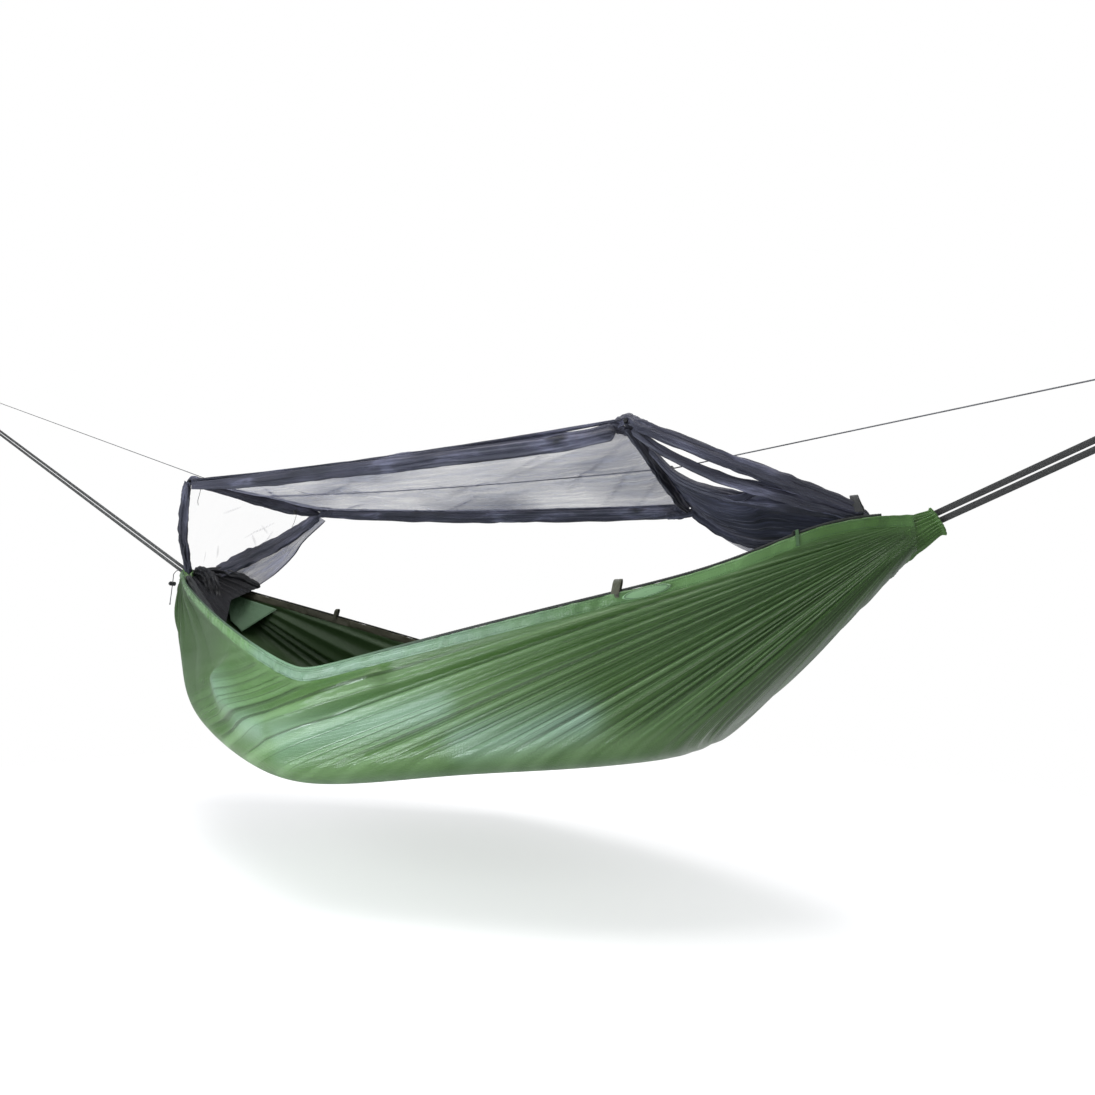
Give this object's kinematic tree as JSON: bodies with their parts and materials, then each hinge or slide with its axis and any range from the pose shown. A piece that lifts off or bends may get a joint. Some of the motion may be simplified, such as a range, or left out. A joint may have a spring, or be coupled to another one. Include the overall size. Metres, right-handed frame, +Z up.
{
  "type": "camping hammock",
  "caption": "Gathered-end double-layer camping hammock with integral mosquito net, spreader-pole roof, rolled side doors, webbing straps and ridge cords.",
  "frame": {"origin": "the point inside the head carabiner that the hammock hangs from", "axes": "X from the head end to the foot end, Y to the back, Z up"},
  "size_m": [4.7228, 0.8944, 1.6568],
  "materials": {
    "ripstop": "silky ripstop nylon",
    "lining": "inner layer of ripstop nylon",
    "binding": "folded and stitched ripstop nylon",
    "net": "bunched mosquito mesh",
    "net_light": "fine single mosquito mesh",
    "webbing": "woven polyester webbing",
    "olive_webbing": "woven olive tape",
    "cord": "braided cord",
    "alloy": "satin aluminium tube",
    "steel": "steel wire",
    "black_alloy": "black coated metal",
    "plastic": "moulded black plastic"
  },
  "bodies": {
    "suspended_net": {"head_carabiner": "black_alloy", "foot_carabiner": "black_alloy", "head_ridge_ring": "steel", "foot_ridge_ring": "steel", "head_ridge_cord": "cord", "foot_ridge_cord": "cord", "head_ridge_loop": "webbing", "foot_ridge_loop": "webbing", "roof_net": "net_light", "roof_centre_tape": "webbing", "front_door_roll": "net", "back_door_roll": "net", "head_pole_sleeve": "net", "foot_pole_sleeve": "net", "door_tie_tab": "webbing", "head_net_panel": "net_light", "foot_net_panel": "net_light", "head_front_net_band": "net", "head_back_net_band": "net", "foot_front_net_band": "net", "foot_back_net_band": "net"},
    "hammock": {"base_outer_layer": "ripstop", "base_inner_layer": "lining", "front_hem_binding": "binding", "back_hem_binding": "binding", "front_zip_tape": "webbing", "back_zip_tape": "webbing", "head_end_channel": "binding", "foot_end_channel": "binding", "front_tieout_loop": "olive_webbing", "back_tieout_loop": "olive_webbing", "head_strap_eye": "webbing", "foot_strap_eye": "webbing", "head_net_gather": "net", "head_inner_pocket": "ripstop", "drawcord": "webbing", "head_strap_upper_leg": "webbing", "head_strap_lower_leg": "webbing", "foot_strap_upper_leg": "webbing", "foot_strap_lower_leg": "webbing"},
    "head_gate": {"head_carabiner_gate": "steel"},
    "foot_gate": {"foot_carabiner_gate": "steel"},
    "head_pole": {"head_spreader_pole": "alloy"},
    "foot_pole": {"foot_spreader_pole": "alloy"},
    "front_slider": {"front_zip_slider": "black_alloy"},
    "back_slider": {"back_zip_slider": "black_alloy"},
    "front_pull": {"front_zip_pull": "plastic"},
    "back_pull": {"back_zip_pull": "plastic"},
    "cord_lock": {"cord_lock_body": "plastic", "cord_lock_spring": "steel"},
    "cord_lock_button": {"cord_lock_button": "plastic"}
  },
  "joints": [
    {"name": "hammock_swing", "type": "hinge", "parent": "suspended_net", "child": "hammock", "pos_m": [0.08612, 0, -0.04126], "axis": [0.9831, 0, -0.1831], "range_deg": [-10, 10], "deforming": ["head_net_panel", "foot_net_panel", "head_front_net_band", "head_back_net_band", "foot_front_net_band", "foot_back_net_band"]},
    {"name": "head_gate_hinge", "type": "hinge", "parent": "suspended_net", "child": "head_gate", "pos_m": [0.0026, 0, -0.02675], "axis": [0, -1, 0], "range_deg": [0, 22], "stiffness_Nm_per_rad": 0.02, "springref_deg": -34.38},
    {"name": "foot_gate_hinge", "type": "hinge", "parent": "suspended_net", "child": "foot_gate", "pos_m": [4.69245, 0, -0.87231], "axis": [0, 1, 0], "range_deg": [0, 22], "stiffness_Nm_per_rad": 0.02, "springref_deg": -34.38},
    {"name": "head_pole_slide", "type": "slide", "parent": "suspended_net", "child": "head_pole", "axis": [0, -0.9984, -0.0558], "range_m": [0, 0.4]},
    {"name": "foot_pole_slide", "type": "slide", "parent": "suspended_net", "child": "foot_pole", "axis": [0, -0.9951, 0.0993], "range_m": [0, 0.4]},
    {"name": "front_zip_slide", "type": "slide", "parent": "hammock", "child": "front_slider", "axis": [-0.8444, -0.4051, -0.3505], "range_m": [0, 0.08]},
    {"name": "back_zip_slide", "type": "slide", "parent": "hammock", "child": "back_slider", "axis": [-0.8444, 0.4051, -0.3505], "range_m": [0, 0.08]},
    {"name": "front_pull_swing", "type": "hinge", "parent": "front_slider", "child": "front_pull", "pos_m": [4.0891, -0.14823, -1.04031], "axis": [-0.8444, -0.4051, -0.3505], "range_deg": [0, 150]},
    {"name": "back_pull_swing", "type": "hinge", "parent": "back_slider", "child": "back_pull", "pos_m": [4.0891, 0.14823, -1.04031], "axis": [0.8444, -0.4051, 0.3505], "range_deg": [0, 150]},
    {"name": "cord_lock_slide", "type": "slide", "parent": "hammock", "child": "cord_lock", "axis": [0, 0, 1], "range_m": [-0.055, 0.015]},
    {"name": "cord_lock_press", "type": "slide", "parent": "cord_lock", "child": "cord_lock_button", "axis": [0, 1, 0], "range_m": [0, 0.002], "stiffness_N_per_m": 600, "springref_m": -0.002, "deforming": ["cord_lock_spring"]}
  ]
}
